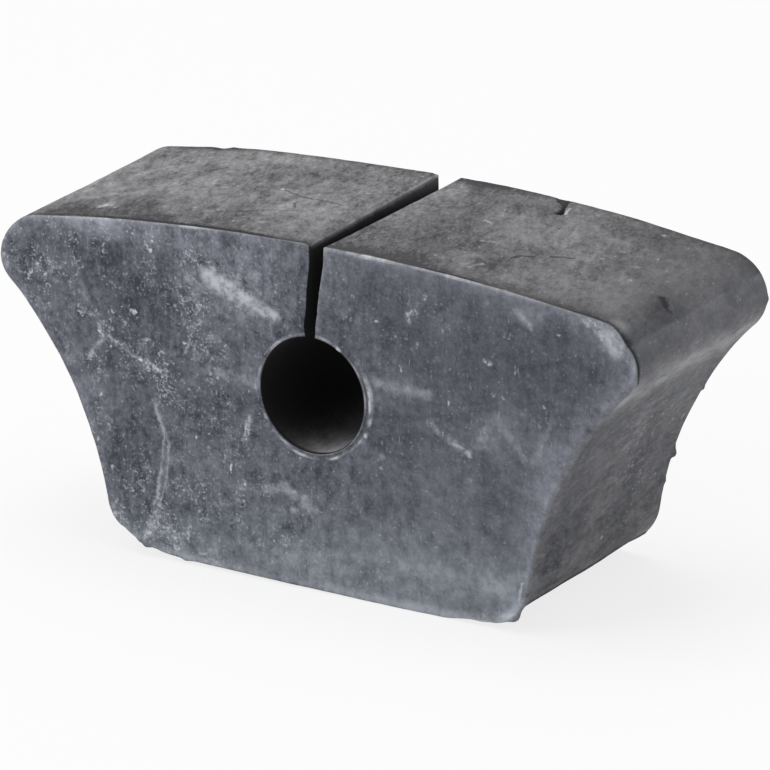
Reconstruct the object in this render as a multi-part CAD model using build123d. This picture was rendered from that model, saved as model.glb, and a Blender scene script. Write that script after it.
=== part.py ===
from build123d import *
import os
from math import sqrt

# A sway bar bushing: one block of moulded rubber, split from its crown to its bore so that
# it opens over the bar. A bracket holds it by the crown and the sides, and presses its flat
# base against the frame.
# The origin is on the bar's axis, half way along the block. X runs across the block, Y runs
# along the bar from the front face to the back face, and Z points up to the crown.

# Driving dimensions in millimetres
length = 43.0
bore_radius = 10.0

# Outline of the block, the same on both sides of the bore
width = 123.2
crown_height = 26.1
crown_radius = 390.0
nose_radius = 7.1
flank_radius = 65.0
base_drop = 34.5
base_width = 83.0
base_corner_radius = 10.0

# Soft edge round both end faces, left by the mould
edge_round = 0.8

# Half-round bead that the mould's core leaves round the front mouth of the bore
bead_radius = 0.55

# Right wall of the slit, measured from the centre line: it is straight along the bar
slit_x_at_crown = 2.75
slit_x_at_bore = 0.75

# Gap of the slit. It gapes towards the back, where the left wall leans away
front_gap_at_crown = 2.7
front_gap_at_bore = 2.0
back_gap_at_crown = 4.6
back_gap_at_bore = 2.6

# How far the slit's cutter runs past the rubber
cutter_margin = 3.0


def hollow_centre(upper, lower):
    """Centre of the hollow flank's arc, which touches the nose and the base corner."""
    to_upper = flank_radius + nose_radius
    to_lower = flank_radius + base_corner_radius
    span = upper - lower
    along = (to_lower**2 - to_upper**2 + span.length**2) / (2 * span.length)
    across = sqrt(to_lower**2 - along**2)
    step = span.normalized()
    return lower + step * along + Vector(step.Y, -step.X) * across


def outline():
    """End view of the block: a shallow crown, round noses, hollow flanks and a flat base."""
    crown_centre = Vector(0, crown_height - crown_radius)
    nose_x = width / 2 - nose_radius
    nose_rise = sqrt((crown_radius - nose_radius) ** 2 - nose_x**2)
    nose_centre = Vector(nose_x, crown_centre.Y + nose_rise)
    corner_centre = Vector(base_width / 2 - base_corner_radius, base_corner_radius - base_drop)
    flank_centre = hollow_centre(nose_centre, corner_centre)

    crown_end = crown_centre + (nose_centre - crown_centre).normalized() * crown_radius
    nose_end = nose_centre + (flank_centre - nose_centre).normalized() * nose_radius
    flank_end = corner_centre + (flank_centre - corner_centre).normalized() * base_corner_radius
    base_end = Vector(corner_centre.X, -base_drop)

    crown = ThreePointArc((-crown_end.X, crown_end.Y), (0, crown_height), crown_end)
    nose = TangentArc(crown_end, nose_end, tangent=crown % 1)
    flank = TangentArc(nose_end, flank_end, tangent=nose % 1)
    corner = TangentArc(flank_end, base_end, tangent=flank % 1)
    side = Curve() + [nose, flank, corner]
    base = Line(base_end, (-base_end.X, base_end.Y))
    return make_face([crown, base, *side.edges(), *mirror(side, Plane.YZ).edges()])


def block():
    """The outline drawn along the bar, with soft edges round both end faces."""
    solid = extrude(Plane.XZ * outline(), length / 2, both=True)
    ends = solid.faces().filter_by(Plane.XZ)
    return fillet(ends.edges(), edge_round)


def bore():
    """Room for the bar."""
    return extrude(Plane.XZ * Circle(bore_radius), length, both=True)


def bore_bead():
    """The bead round the bore's mouth, flat against the front face."""
    middle = Vector(bore_radius + bead_radius, -length / 2)
    inner = middle - Vector(bead_radius, 0)
    outer = middle + Vector(bead_radius, 0)
    front = middle - Vector(0, bead_radius)
    profile = make_face([ThreePointArc(inner, front, outer), Line(outer, inner)])
    return revolve(profile, Axis.Y)


def slit_section(y):
    """The slit on the plane at y, run on straight above the crown and down into the bore."""
    share = y / length + 0.5
    gap_at_crown = front_gap_at_crown + share * (back_gap_at_crown - front_gap_at_crown)
    gap_at_bore = front_gap_at_bore + share * (back_gap_at_bore - front_gap_at_bore)

    def at_height(x_at_bore, x_at_crown, z):
        rise = (z - bore_radius) / (crown_height - bore_radius)
        return (x_at_bore + rise * (x_at_crown - x_at_bore), z)

    left_at_bore = slit_x_at_bore - gap_at_bore
    left_at_crown = slit_x_at_crown - gap_at_crown
    top = crown_height + cutter_margin
    foot = bore_radius / 2
    corners = [
        at_height(slit_x_at_bore, slit_x_at_crown, top),
        at_height(left_at_bore, left_at_crown, top),
        at_height(left_at_bore, left_at_crown, foot),
        at_height(slit_x_at_bore, slit_x_at_crown, foot),
    ]
    return Plane.XZ.offset(-y) * make_face(Polyline(corners, close=True))


def slit():
    """The cut from the crown to the bore: a ruled wedge between the two ends."""
    reach = length / 2 + cutter_margin
    return loft([slit_section(-reach), slit_section(reach)], ruled=True)


bushing = block() - bore() + bore_bead() - slit()

os.makedirs("parts", exist_ok=True)
export_step(bushing, "parts/bushing.step")
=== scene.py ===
import bmesh
import bpy
import numpy as np
from mathutils import Matrix, Vector
from mathutils.geometry import delaunay_2d_cdt


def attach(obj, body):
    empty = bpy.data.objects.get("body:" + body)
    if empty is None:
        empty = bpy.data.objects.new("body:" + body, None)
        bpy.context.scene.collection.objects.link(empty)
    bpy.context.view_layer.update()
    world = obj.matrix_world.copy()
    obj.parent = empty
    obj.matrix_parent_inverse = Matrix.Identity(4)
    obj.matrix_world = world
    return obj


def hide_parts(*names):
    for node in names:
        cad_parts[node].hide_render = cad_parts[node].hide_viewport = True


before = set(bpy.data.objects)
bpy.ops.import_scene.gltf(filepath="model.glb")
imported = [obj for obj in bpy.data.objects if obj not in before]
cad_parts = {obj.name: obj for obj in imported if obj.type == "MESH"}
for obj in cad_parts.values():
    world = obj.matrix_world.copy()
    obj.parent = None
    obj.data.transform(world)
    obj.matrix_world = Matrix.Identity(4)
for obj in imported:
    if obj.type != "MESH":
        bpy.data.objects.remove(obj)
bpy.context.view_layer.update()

# Bushing: one block of natural rubber that is pressed in a steel mould. The mould leaves a soft
# edge, a thin lip round the front face and flash round the bore's mouth, and a knife cuts the
# slit. The sizes are in millimetres, as in the part's source.

MM = 0.001
length = 43.0
bore_radius = 10.0
width = 123.2
crown_height = 26.1
crown_radius = 390.0
nose_radius = 7.1
flank_radius = 65.0
base_drop = 34.5
base_width = 83.0
corner_radius = 10.0
slit_x_at_crown = 2.75
slit_x_at_bore = 0.75
front_gap = {"crown": 2.7, "bore": 2.0}
back_gap = {"crown": 4.6, "bore": 2.6}

# The outline of the end view: each arc is a centre, a radius and the turn of its outward
# direction from straight up. The hollow flank touches the nose and the base corner.
crown_centre = np.array([0.0, crown_height - crown_radius])
nose_x = width / 2 - nose_radius
nose_rise = np.sqrt((crown_radius - nose_radius) ** 2 - nose_x**2)
nose_centre = crown_centre + [nose_x, nose_rise]
corner_centre = np.array([base_width / 2 - corner_radius, corner_radius - base_drop])
span = nose_centre - corner_centre
reach_up = flank_radius + nose_radius
reach_down = flank_radius + corner_radius
along = (reach_down**2 - reach_up**2 + span @ span) / (2 * np.hypot(*span))
across = np.sqrt(reach_down**2 - along**2)
step = span / np.hypot(*span)
flank_centre = corner_centre + along * step + across * np.array([step[1], -step[0]])

crown_turn = np.arcsin(nose_x / (crown_radius - nose_radius))
nose_turn = np.arctan2(*(flank_centre - nose_centre))
flank_turn = np.arctan2(*(flank_centre - corner_centre))
runs = np.cumsum([
    crown_radius * crown_turn,
    nose_radius * (nose_turn - crown_turn),
    flank_radius * (nose_turn - flank_turn),
    corner_radius * (np.pi - flank_turn),
    corner_centre[0],
])


def outline(travel):
    """Place (x, z) and outward direction on the outline, clockwise from the crown's middle."""
    on_left = travel > runs[-1]
    run = np.where(on_left, 2 * runs[-1] - travel, travel)
    part = [run < runs[0], run < runs[1], run < runs[2], run < runs[3]]
    turn = np.select(part, [
        run / crown_radius,
        crown_turn + (run - runs[0]) / nose_radius,
        nose_turn - (run - runs[1]) / flank_radius,
        flank_turn + (run - runs[2]) / corner_radius,
    ], np.pi)
    out = np.stack([np.sin(turn), np.cos(turn)], -1)
    centres = [crown_centre, nose_centre, flank_centre, corner_centre]
    radii = [crown_radius, nose_radius, -flank_radius, corner_radius]
    on_base = np.stack([runs[-1] - run, np.full_like(run, -base_drop)], -1)
    place = np.select([p[..., None] for p in part],
                      [c + r * out for c, r in zip(centres, radii)], on_base)
    mirror = np.stack([np.where(on_left, -1.0, 1.0), np.ones_like(run)], -1)
    return place * mirror, out * mirror


def ripple(points, wavelength, seed):
    """Smooth random height from -1 to 1 that changes over about one wavelength, in mm."""
    lattice = np.random.default_rng(seed).uniform(-1.0, 1.0, (32, 32, 32))
    place = np.asarray(points) / wavelength + 5.3
    cell = np.floor(place).astype(int)
    share = place - cell
    share = share * share * (3.0 - 2.0 * share)
    height = 0.0
    for corner in np.ndindex(2, 2, 2):
        weight = np.prod(np.where(np.array(corner) == 1, share, 1.0 - share), axis=-1)
        at = (cell + corner) % 32
        height = height + weight * lattice[at[..., 0], at[..., 1], at[..., 2]]
    return height


def hill(value, middle, half_width):
    """A smooth hill of height 1 round a value."""
    return np.exp(-(((value - middle) / half_width) ** 2))


# Columns run round the outline from the slit's right wall to its left wall. They stand closest
# on the noses, on the base corners, at the nick in the crown's back edge and where three nibs
# of torn flash stand on the right flank's back edge.
column_gaps = {"crown": 0.68, "nose": 0.42, "flank": 0.85, "corner": 0.5, "base": 1.2,
               "nick": 0.22, "nib": 0.26}
nick_run, nick_reach = 24.5, 3.5
nib_heights, nib_reach = (-2.6, -15.0, -31.0), 1.1
fine = np.linspace(0.0, 2 * runs[-1], 20001)
fine_run = np.minimum(fine, 2 * runs[-1] - fine)
spacing = np.select([fine_run < end for end in runs[:4]],
                    [column_gaps[part] for part in ("crown", "nose", "flank", "corner")],
                    column_gaps["base"])
spacing = np.where(abs(fine - nick_run) < nick_reach, column_gaps["nick"], spacing)
for nib_z in nib_heights:
    at_nib = (fine < runs[-1]) & (abs(outline(fine)[0][:, 1] - nib_z) < nib_reach)
    spacing = np.where(at_nib, column_gaps["nib"], spacing)
count = np.cumsum(1.0 / spacing)
columns = int(count[-1] * fine[1])
regular = np.interp(np.linspace(count[0], count[-1], columns), count, fine)

# The slit's knife edges are soft too, the left one most where it meets the crown: five columns at
# each end round them off
wall_turn = np.radians([0.0, 22.5, 45.0, 67.5, 90.0])
wall_run, wall_sink = 1.0 - np.cos(wall_turn), 1.0 - np.sin(wall_turn)
knife_edge, left_knife_edge = 0.3, 1.1
clear_of_wall = 1.3
extra = len(wall_turn)
columns += 2 * extra

# Radius of the edge round the front and back faces: uneven, with a few chips and a duller right
# nose. The chips: (where x, z, how much rounder, half width)
middle = np.concatenate([np.zeros(extra), regular, np.full(extra, 2 * runs[-1])])
between_walls = 2 * runs[-1] - front_gap["crown"] - 2 * clear_of_wall
edge_line = outline(slit_x_at_crown + clear_of_wall + middle / (2 * runs[-1]) * between_walls)[0]
edge_3d = np.stack([edge_line[:, 0], np.zeros(columns), edge_line[:, 1]], -1)
front_edge = 0.25 + 0.27 * np.clip((12.0 - edge_line[:, 1]) / 10.0, 0, 1) \
    + 0.08 * ripple(edge_3d, 4.0, 11) + 0.05 * ripple(edge_3d, 1.3, 12)
back_edge = 0.42 + 0.1 * ripple(edge_3d, 5.0, 13) + 0.07 * ripple(edge_3d, 1.5, 14)
chips = [
    (2.0, 26.1, 0.22, 3.0), (-47.0, 23.3, 0.5, 1.0), (-13.5, 25.9, 0.25, 1.0),
    (37.0, 24.4, 0.2, 1.0), (-38.2, -31.9, 0.6, 1.0), (39.7, -27.0, 0.4, 1.0),
    (53.0, 1.0, 1.2, 9.0), (61.0, 10.5, 1.0, 2.5), (-59.0, 18.0, 0.9, 5.0),
]
for *at, rounder, half_width in chips:
    front_edge += rounder * hill(np.hypot(*(edge_line - at).T), 0.0, half_width)

# Rows run round the section of one column: front face, front edge, outer wall, back edge, back
# face, bore and the flash at the bore's front mouth. The outermost 3.1 mm of each face has rows
# of its own, and the faces start where the flash and the bore's back edge end.
front, back = -length / 2, length / 2
face_margin = 3.1
flash_foot, back_mouth = 12.1, 10.5
rows = []


def row(y, inset, reach, radius, facing, off_edge=99.0):
    """Keeps one row. Reach goes from 0 at the bore to 1 at the outline."""
    flat = np.zeros(columns)
    rows.append((y + flat, inset + flat, reach, radius, facing, off_edge))


for reach in np.linspace(0.0, 1.0, 54)[:-1]:
    row(front, front_edge + face_margin, reach, flash_foot, (0, 0, -1), 3.2)
for off in (face_margin, 2.5, 2.0, 1.55, 1.15, 0.8, 0.5, 0.25, 0.1):
    row(front, front_edge + off, 1.0, 0.0, (0, 0, -1), off)
for turn in np.radians(np.linspace(0, 90, 7)):
    row(front + front_edge * (1 - np.cos(turn)), front_edge * (1 - np.sin(turn)), 1.0, 0.0,
        (np.sin(turn), 0, -np.cos(turn)), 0.0)
for off in (0.12, 0.28, 0.44, 0.6, 0.76, 0.95, 1.2, 1.6, 2.2, 3.0):
    row(front + front_edge + off, 0.0, 1.0, 0.0, (1, 0, 0), off)
for y in [*np.arange(-17.2, 13.3, 0.85), *np.arange(13.6, 20.8, 0.35)]:
    row(y, 0.0, 1.0, 0.0, (1, 0, 0))
for turn in np.radians(np.linspace(90, 0, 6)):
    row(back - back_edge * (1 - np.cos(turn)), back_edge * (1 - np.sin(turn)), 1.0, 0.0,
        (np.sin(turn), 0, np.cos(turn)))
for off in (0.3, 0.9, 1.8, face_margin):
    row(back, back_edge + off, 1.0, 0.0, (0, 0, 1))
for reach in np.linspace(1.0, 0.0, 13)[1:]:
    row(back, back_edge + face_margin, reach, back_mouth, (0, 0, 1))
for radius, y in ((10.22, 21.42), (10.06, 21.26), (10.0, 21.0)):
    row(y, 0.0, 0.0, radius, (0, -1, 0))
for y in np.linspace(19.0, -20.6, 14):
    row(y, 0.0, 0.0, bore_radius, (0, -1, 0))

# Flash round the front mouth, from the bore outwards: (radius, how far proud of the face)
flash = ((10.0, 0.0), (10.03, 0.07), (10.1, 0.13), (10.19, 0.16), (10.3, 0.12), (10.41, 0.06),
         (10.52, 0.03), (10.64, 0.1), (10.75, 0.22), (10.86, 0.33), (10.97, 0.38), (11.08, 0.34),
         (11.19, 0.22), (11.31, 0.09), (11.45, 0.02), (11.6, 0.0), (11.78, 0.0), (11.95, 0.0))
flash_row = len(rows)
for radius, proud in flash:
    row(front, 0.0, 0.0, radius, (0, -0.6, -0.8))

y, inset = np.array([r[0] for r in rows]), np.array([r[1] for r in rows])
reach, radius = np.array([[r[2], r[3]] for r in rows]).T[..., None]
facing = np.array([r[4] for r in rows], float)
off_edge = np.array([r[5] for r in rows])[:, None]

# Where each row starts and ends at the slit's walls. The right wall is straight along the bar
# and the left wall leans away from it towards the back.
share_back = (y + length / 2) / length
left_at_crown = slit_x_at_crown - front_gap["crown"] \
    - share_back * (back_gap["crown"] - front_gap["crown"])
left_at_bore = slit_x_at_bore - front_gap["bore"] \
    - share_back * (back_gap["bore"] - front_gap["bore"])
starts, ends = slit_x_at_crown, 2 * runs[-1] + left_at_crown
soft_left = np.where((facing[:, :1] > 0.5) & (reach > 0.5), left_knife_edge, knife_edge)

travel = starts + clear_of_wall + middle / (2 * runs[-1]) * (ends - starts - 2 * clear_of_wall)
travel[:, :extra] = starts + knife_edge * wall_run
travel[:, -extra:] = ends[:, -extra:] - soft_left * wall_run[::-1]
sink = np.zeros_like(travel)
sink[:, :extra] = knife_edge * wall_sink
sink[:, -extra:] = soft_left * wall_sink[::-1]

outer, out = outline(travel)
angle = np.unwrap(np.arctan2(outer[..., 1], outer[..., 0]), axis=1)
right_angle = np.arccos(slit_x_at_bore / bore_radius)
left_angle = np.arccos(left_at_bore / bore_radius) - 2 * np.pi
angle += (right_angle - angle[:, :1]) * np.exp(-(travel - starts) / 12.0)
angle += (left_angle - angle[:, -1:]) * np.exp(-(ends - travel) / 12.0)
spoke = np.stack([np.cos(angle), np.sin(angle)], -1)

section = reach[..., None] * (outer - out * inset[..., None]) \
    + (1 - reach[..., None]) * radius[..., None] * spoke
away = facing[:, None, :1] * out + facing[:, None, 1:2] * spoke
points = np.stack([section[..., 0], y, section[..., 1]], -1)
normal = np.stack([away[..., 0], np.broadcast_to(facing[:, 2:], y.shape), away[..., 1]], -1)
points -= sink[..., None] * normal


def slit_drift(at_y, at_z, on_left):
    """How far the knife strayed to the side of the drawn slit, in mm."""
    sideways = np.interp(at_z, [11.0, 15.0, 18.0, 26.0], [0.0, 0.0, -0.3, -0.4]) if on_left \
        else np.interp(at_z, [11.0, 14.0, 18.0, 22.0, 26.0], [-0.2, -0.4, -0.6, -0.6, -0.4])
    return sideways * np.exp(-(at_y - front) / 10.0) + 0.3 * on_left * np.exp((at_y - back) / 6.0)


for on_left, from_wall in ((False, travel - starts), (True, ends - travel)):
    points[..., 0] += slit_drift(points[..., 1], points[..., 2], on_left) * np.exp(-from_wall / 8.0)

# Which part of the block a point belongs to. The crown starts above this height, and the upper
# edge, with its lip, above the other.
crown_from, upper_edge_from = 19.0, 12.0
x, z = points[..., 0], points[..., 2]
is_front = np.clip(-facing[:, 2:], 0, 1) * (np.hypot(x, z) > 11.2)
is_wall = (facing[:, :1] > 0.9) & (reach > 0.5)
on_crown = is_wall & (z > crown_from)

# Unevenness of the moulded faces, from slow waves to small lumps: (how high, how long)
waves = [(0.12, 21.0), (0.06, 8.0), (0.03, 3.0), (0.016, 1.2)]
height = sum(high * ripple(points, long, seed) for seed, (high, long) in enumerate(waves, 1))

# The lip round the front face is undercut behind: a wide, deep groove on the left of the crown,
# and narrower, shallower ones on the right of it and down the nose
left_groove_depth, right_groove_depth = 0.75, 0.6
nose_from = 46.0
place_on_edge = np.broadcast_to(edge_line[:, 0], y.shape)
above = edge_line[:, 1] > upper_edge_from
undercut_share = above * np.clip(
    0.05 + hill(place_on_edge, -19.0, 15.0) + 0.55 * hill(place_on_edge, -42.0, 10.0)
    + 0.55 * hill(place_on_edge, 26.0, 8.0) + 1.1 * hill(place_on_edge, 52.5, 6.5)
    + hill(np.hypot(place_on_edge - 61.3, edge_line[:, 1] - 15.6), 0.0, 2.8), 0, 1)
wide_groove = np.interp(off_edge, [0.12, 0.28, 0.95, 1.2], [0.0, 1.0, 1.0, 0.0])
narrow_groove = np.interp(off_edge, [0.12, 0.28, 0.44, 0.6], [0.0, 0.8, 1.0, 0.0])
nose_groove = np.interp(off_edge, [0.12, 0.28, 0.6, 0.95], [0.0, 0.9, 1.0, 0.0])
groove = np.select([place_on_edge < 0, place_on_edge < nose_from], [wide_groove, narrow_groove],
                   nose_groove)
# The same mask later darkens the groove's colour: painted shade in the groove behind the lip
groove_shade_and_bare_spots = is_wall * groove * undercut_share * (0.75 + 0.25 * ripple(points, 2.5, 21))
height -= np.where(place_on_edge < 0, left_groove_depth, right_groove_depth) * groove_shade_and_bare_spots

# Flash at the bore's front mouth: a low inner bead and, outside it, a ragged outer one that is
# high on the right and below and almost gone on the left. Between them runs a shallow furrow.
furrow_radius = 10.55
around = np.degrees(np.arctan2(z, x))
inner_share = np.clip(0.35 + 0.6 * hill(around, -45.0, 65.0) + 0.4 * hill(around, 60.0, 20.0)
                      + 0.3 * ripple(points, 1.5, 33), 0.0, 1.0)
outer_share = np.clip(
    0.12 + 0.75 * hill(around, 5.0, 24.0) + 0.8 * hill(around, -62.0, 18.0)
    + 0.7 * hill(around, -102.0, 13.0) + 0.4 * hill(around, 133.0, 14.0)
    + 0.3 * hill(around, 70.0, 14.0) + 0.35 * ripple(points, 1.6, 31), 0.05, 1.0)
moved_out = 0.42 * hill(around, 10.0, 18.0) - 0.42 * hill(around, 133.0, 25.0) \
    - 0.12 * hill(around, -100.0, 18.0) + 0.14 * ripple(points, 2.2, 35)
for at, (at_radius, proud) in enumerate(flash, flash_row):
    bead_share = outer_share if at_radius > furrow_radius else inner_share
    points[at, :, 1] -= proud * bead_share[at]
    moved = moved_out[at] * np.clip(np.sin(np.pi * (at_radius - 10.45) / 1.5), 0, 1)
    outward = np.stack([spoke[at, :, 0], np.zeros(columns), spoke[at, :, 1]], -1)
    points[at] += moved[:, None] * outward
    height[at] *= 0.2

points += height[..., None] * normal

# How the moulded block departs from the drawn outline, near its front and near its back:
# (where x, z, reach in mm, how far out)
front_swell = [(-61.6, 13.5, 3.6, 0.55), (-59.0, 20.9, 3.0, -0.3), (59.7, 19.1, 2.6, -0.75),
               (-52.0, 1.0, 10.0, 0.42), (-45.5, -14.0, 8.0, 0.3)]
back_swell = [(-42.0, 24.0, 22.0, 0.65), (8.0, 26.0, 16.0, 0.25), (30.0, 24.9, 16.0, 0.35),
              (61.4, 16.0, 5.0, 0.35)]
gap_to_outline = inset + (1 - reach) * np.linalg.norm(outer - radius[..., None] * spoke, axis=-1)
for swell, off_end in ((front_swell, y - front), (back_swell, back - y)):
    for *at, size, proud in swell:
        off = np.linalg.norm(outer - at, axis=-1)
        swollen = proud * hill(off, 0.0, size) * np.exp(-off_end / 14.0 - gap_to_outline / 6.0)
        points[..., 0] += swollen * out[..., 0]
        points[..., 2] += swollen * out[..., 1]

# The lower front edge has rolled up a little where the block was trimmed: how far, by x. The
# right base corner is drawn in along its middle.
roll_x = [-42.0, -40.0, -37.0, -33.5, -30.0, -25.0, -20.0, 0.0, 10.0, 25.0, 30.0, 34.0, 38.0,
          42.0]
roll_up = [0.9, 1.8, 2.2, 2.0, 1.0, 0.6, 0.5, 0.35, 0.1, 0.0, 0.6, 0.5, -0.5, -0.3]
low = np.clip((-27.0 - z) / 7.5, 0, 1)
near_front = np.clip(1.0 - (y - front) / 9.0, 0, 1) ** 1.5
points[..., 2] += np.interp(x, roll_x, roll_up) * low * near_front
drawn_in = np.clip((x - 24.0) / 8.0, 0, 1) * np.clip((-22.0 - z) / 9.0, 0, 1)
points[..., 2] += drawn_in * np.interp(y, [-21.5, -19.6, 2.0, 10.0, 18.0, 21.5],
                                       [0.0, 0.85, 0.75, 1.0, 1.25, 0.95])

# Small forms: (where x, y, z, reach in mm, how far out). Crumbs and nibs of torn flash stand
# out, and dents, chips and the notches of the slit's edge go in.
small_forms = [
    (-33.6, -21.2, -32.4, 0.9, 0.7), (-34.9, -20.8, -31.8, 0.7, 0.5),
    (-25.4, -21.3, -33.6, 0.6, 0.45), (49.8, 21.1, -2.6, 0.4, 0.4),
    (44.1, 21.0, -14.8, 0.55, 0.8), (44.0, 21.2, -15.7, 0.45, 0.6), (42.6, 21.2, -20.5, 0.5, 0.2),
    (39.2, 21.0, -31.0, 0.5, 0.6), (61.4, 21.2, 14.8, 0.6, 0.3), (-42.3, 21.1, 23.8, 0.6, 0.35),
    (58.2, -5.5, 21.1, 1.5, -0.55), (1.75, -21.3, 17.2, 0.4, -0.3),
    (1.1, -21.3, 14.2, 0.35, -0.2), (28.6, -21.5, -24.4, 0.9, -0.35),
    (36.2, -21.2, -31.6, 0.8, -0.3), (5.3, -21.5, 9.0, 0.4, 0.25), (-44.5, 21.4, 23.6, 1.0, -0.3),
    (38.7, -21.2, -31.8, 1.3, 0.9), (41.2, -21.0, -29.0, 1.8, 0.5),
]
for *at, size, proud in small_forms:
    off = np.linalg.norm(points - at, axis=-1)
    points += (proud * hill(off, 0.0, size))[..., None] * normal

# Spots where torn flash shows bare rubber: (where x, y, z, reach in mm, how bare)
torn_spots = [
    (49.8, 21.4, -2.6, 0.5, 0.5), (44.3, 21.3, -14.9, 0.7, 0.5), (39.4, 21.2, -31.2, 0.6, 0.5),
    (-34.0, -21.6, -32.2, 1.2, 0.22), (-28.0, -21.6, -33.8, 0.9, 0.18),
    (38.6, -21.6, -32.2, 0.7, 0.15),
]
for *at, size, bare in torn_spots:
    off = np.linalg.norm(points - at, axis=-1)
    groove_shade_and_bare_spots = np.maximum(groove_shade_and_bare_spots, bare * hill(off, 0.0, size))

# The nick in the crown's back edge: a wedge that runs out as a crack with a small pit at its end,
# given from the pit to the edge
crack_y = [15.3, 16.8, 18.6, 20.9, 21.3]
crack_x = np.interp(points[..., 1], crack_y, [25.6, 25.3, 24.6, 22.9, 22.8])
crack_width = np.interp(points[..., 1], crack_y, [0.62, 0.26, 0.24, 1.0, 1.1])
crack_depth = np.interp(points[..., 1], crack_y, [0.9, 0.8, 0.8, 0.65, 0.05])
crack_off = abs(x - crack_x - 0.2 * ripple(points, 1.2, 41)) / crack_width
crack = np.clip(1.7 - 1.1 * crack_off, 0, 1) * np.clip((points[..., 1] - 14.3) / 0.5, 0, 1)
crack = crack * np.clip((z - 23.6) / 1.0, 0, 1) * (y > 12.0)
points[..., 2] -= crack * crack_depth
points[..., 2] = np.maximum(points[..., 2], -base_drop)

# How worn, dusty or dark each spot is. Soft patches of bloom: (where across, where up, half width,
# half height, how strong). The front face has them by x and z, the crown by x and y and the
# flank by y and z.
front_patches = [
    (-36.0, 22.8, 17.0, 2.2, 0.3), (-42.0, 15.0, 14.0, 7.0, -0.08), (57.0, 19.4, 3.0, 3.0, 0.42),
    (-57.0, 13.5, 2.2, 4.0, -0.12), (17.5, 4.0, 5.5, 2.2, 0.22), (40.6, 20.4, 2.3, 1.8, 0.35),
    (36.0, -0.5, 5.0, 4.0, 0.22), (45.0, -6.0, 3.5, 8.0, 0.2), (12.0, -30.0, 30.0, 4.6, 0.38),
    (15.0, -28.5, 7.0, 3.5, -0.12), (0.5, -28.0, 5.5, 3.6, 0.1), (-30.0, -31.0, 9.0, 3.5, 0.3),
    (9.0, -24.0, 11.0, 3.6, 0.2), (36.0, -27.0, 6.0, 5.0, 0.28), (-53.0, 10.0, 6.0, 10.0, 0.16),
    (-17.0, 10.0, 12.0, 9.0, 0.1), (-14.0, -20.0, 16.0, 9.0, 0.14), (22.0, -27.0, 9.0, 2.2, 0.15),
    (-44.0, -4.0, 5.0, 9.0, 0.15), (46.0, 13.0, 8.0, 5.0, -0.06), (26.0, 8.0, 12.0, 8.0, -0.03),
    (2.0, 23.5, 14.0, 2.5, 0.12), (-10.0, 16.0, 5.0, 4.0, 0.1), (26.0, -18.0, 14.0, 12.0, 0.1),
    (8.0, -33.6, 24.0, 1.4, 0.25), (22.0, -24.0, 16.0, 7.0, 0.14), (-16.0, 17.0, 9.0, 5.0, 0.18),
]
crown_patches = [
    (-6.0, 4.0, 12.0, 18.0, 0.04), (-15.0, -2.0, 8.0, 7.0, 0.07), (46.0, 0.0, 12.0, 20.0, 0.02),
    (-54.0, 2.0, 9.0, 16.0, 0.22), (-30.0, 6.0, 16.0, 12.0, 0.08), (-13.0, -3.0, 9.0, 5.0, 0.12),
    (14.0, -4.0, 11.0, 20.0, -0.1), (32.0, 4.0, 9.0, 6.0, 0.12), (54.0, 10.0, 9.0, 14.0, -0.1),
    (-47.0, -15.5, 9.0, 4.5, -0.3), (-45.0, -14.2, 2.2, 1.6, 0.4), (-44.5, 21.0, 3.5, 1.6, -0.35),
    (-38.5, 9.0, 2.6, 2.2, -0.15), (8.0, 21.0, 6.0, 2.2, -0.25), (13.0, -20.0, 10.0, 4.0, -0.14),
    (40.0, 15.5, 6.0, 3.5, -0.2), (47.0, -11.0, 8.0, 6.0, 0.08), (-30.0, 17.0, 9.0, 3.0, 0.12),
    (-20.0, 12.0, 6.0, 3.0, -0.15), (-24.0, -16.0, 12.0, 3.5, -0.1),
    (29.5, -11.0, 3.0, 5.0, -0.12), (58.0, -8.0, 5.0, 6.0, -0.15), (4.5, 8.0, 2.5, 9.0, 0.12),
    (57.5, -19.5, 1.5, 1.5, 0.4),
]


def sum_patches(patches, across, up):
    """Sum of the soft patches at a place."""
    return sum(strong * hill(across, at_across, half_width) * hill(up, at_up, half_height)
               for at_across, at_up, half_width, half_height, strong in patches)


# Painted light: the front face is paler close to its outline, by this share along the edge
rim_share = 0.2 + 0.8 * np.clip(
    hill(place_on_edge, 62.0, 16.0)
    + above * (hill(place_on_edge, -40.0, 16.0) + 0.6 * hill(place_on_edge, 12.0, 8.0)
               + 0.6 * hill(place_on_edge, 38.0, 12.0)), 0, 1)

# The lower edge of the front face is pale, partly rubbed and partly a painted highlight on its
# bevel: how much, by x
low_rim_x = [-38.0, -32.0, -26.5, -15.0, -11.0, -7.0, -3.0, 1.0, 5.0, 17.0, 25.0, 32.5, 37.0, 41.0]
low_rim_pale = [0.3, 0.36, 0.8, 0.75, 0.36, 0.0, 0.08, 0.5, 0.45, 0.75, 0.9, 0.5, 0.65, 0.2]
low_rim = (edge_line[:, 1] < -28.0) * np.interp(place_on_edge, low_rim_x, low_rim_pale)
low_band = low_rim * np.exp(-(gap_to_outline / 1.6) ** 4)

# The right rim of the front face and the stretches under its crown edge are pale too: painted
# light on the face beside its edges
right_rim = np.clip((21.0 - edge_line[:, 1]) / 5.0, 0, 1) \
    / (1 + np.exp((38.0 - place_on_edge) / 1.5))
under_edge = above * (hill(place_on_edge, 11.0, 6.5) + 0.8 * hill(place_on_edge, 35.0, 12.0))
bloom_and_painted_light = is_front * (sum_patches(front_patches, x, z)
                    + 0.36 * rim_share * np.exp(-gap_to_outline / 1.6)
                    + 0.2 * right_rim * hill(gap_to_outline, 0.0, 4.0)
                    + 0.35 * low_band
                    + 0.16 * hill(place_on_edge, -62.0, 8.0) * hill(gap_to_outline, 0.0, 3.0)
                    + 0.14 * hill(place_on_edge, -43.0, 8.0) * hill(gap_to_outline, 0.0, 2.5)
                    + 0.2 * under_edge * np.exp(-gap_to_outline / 1.1))
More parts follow.
